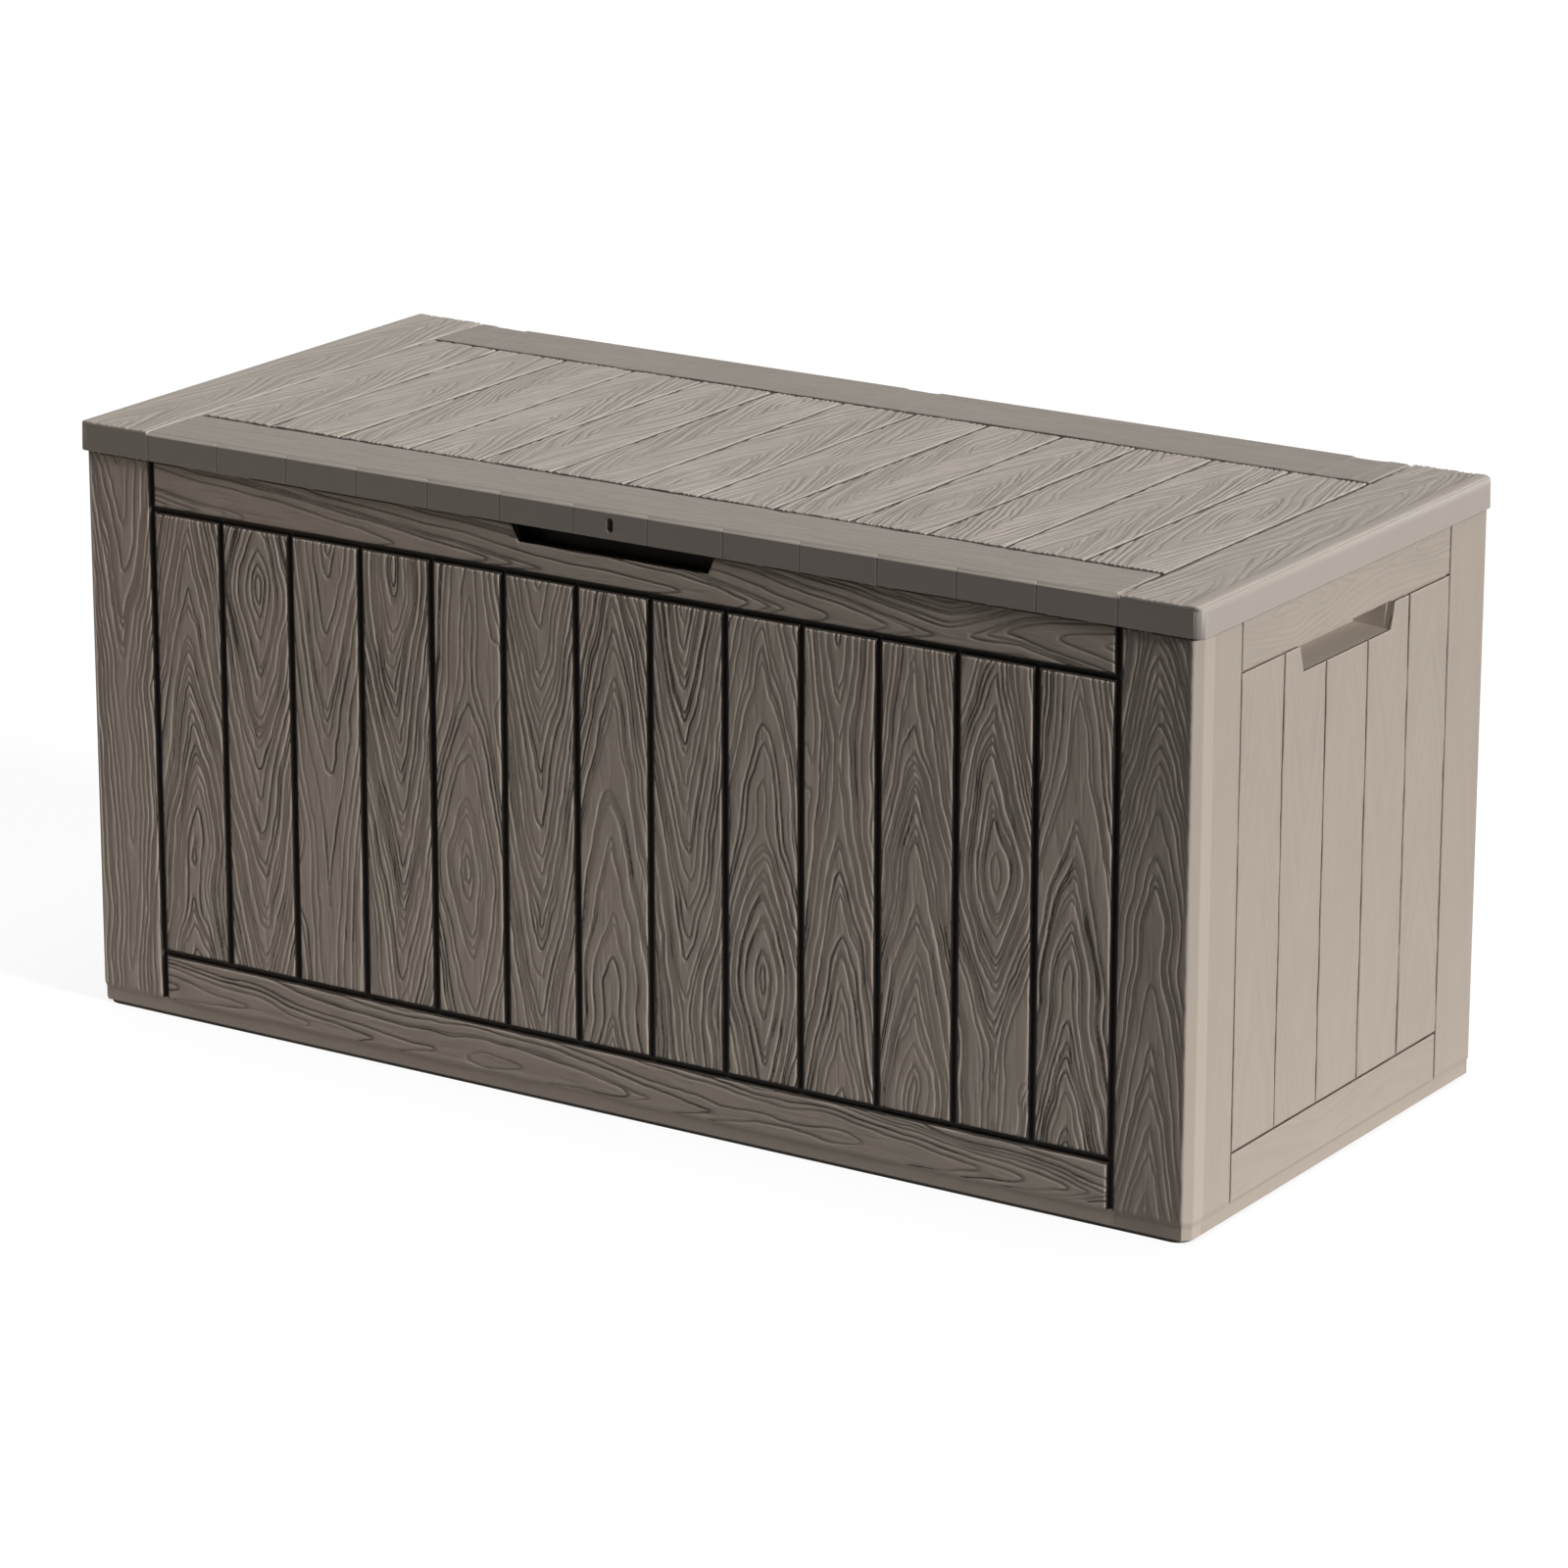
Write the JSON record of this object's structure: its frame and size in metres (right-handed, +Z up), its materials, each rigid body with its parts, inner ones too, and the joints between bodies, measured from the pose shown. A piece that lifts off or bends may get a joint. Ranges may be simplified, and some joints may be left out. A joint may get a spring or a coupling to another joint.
{
  "type": "deck storage box",
  "caption": "Resin deck storage box with wood-look board walls, a rear-hinged lid, end handle pockets and a front finger recess with a padlock slot.",
  "frame": {"origin": "on the ground under the middle of the box, on the underside of the tray", "axes": "+X to the right along the box's length as seen from the front, +Y from the front towards the hinges, +Z up"},
  "size_m": [1.18, 0.5358, 0.562],
  "materials": {
    "resin": "matte moulded wood grain",
    "lid_resin": "matte moulded wood grain, shallow",
    "tray_resin": "matte, fine sparked",
    "steel": "zinc plated"
  },
  "bodies": {
    "box": {"base_tray": "tray_resin", "front_panel": "resin", "rear_panel": "resin", "left_side_panel": "resin", "right_side_panel": "resin", "lock_bracket": "resin", "handle_cup_left": "resin", "handle_cup_right": "resin", "hinge_pin_left": "steel", "hinge_pin_centre": "steel", "hinge_pin_right": "steel", "hinge_clip_left": "steel", "hinge_clip_centre": "steel", "hinge_clip_right": "steel", "corner_screws_front_left": "steel", "corner_screws_front_right": "steel", "corner_screws_rear_left": "steel", "corner_screws_rear_right": "steel", "tray_screws_left": "steel", "tray_screws_right": "steel", "tray_screws_front": "steel", "tray_screws_rear": "steel", "handle_screws_left": "steel", "handle_screws_right": "steel", "lock_screws": "steel"},
    "lid": {"lid_shell": "lid_resin"}
  },
  "joints": [
    {"name": "lid_hinge", "type": "hinge", "parent": "box", "child": "lid", "pos_m": [0, 0.2665, 0.532], "axis": [-1, 0, 0], "range_deg": [0, 100]}
  ]
}
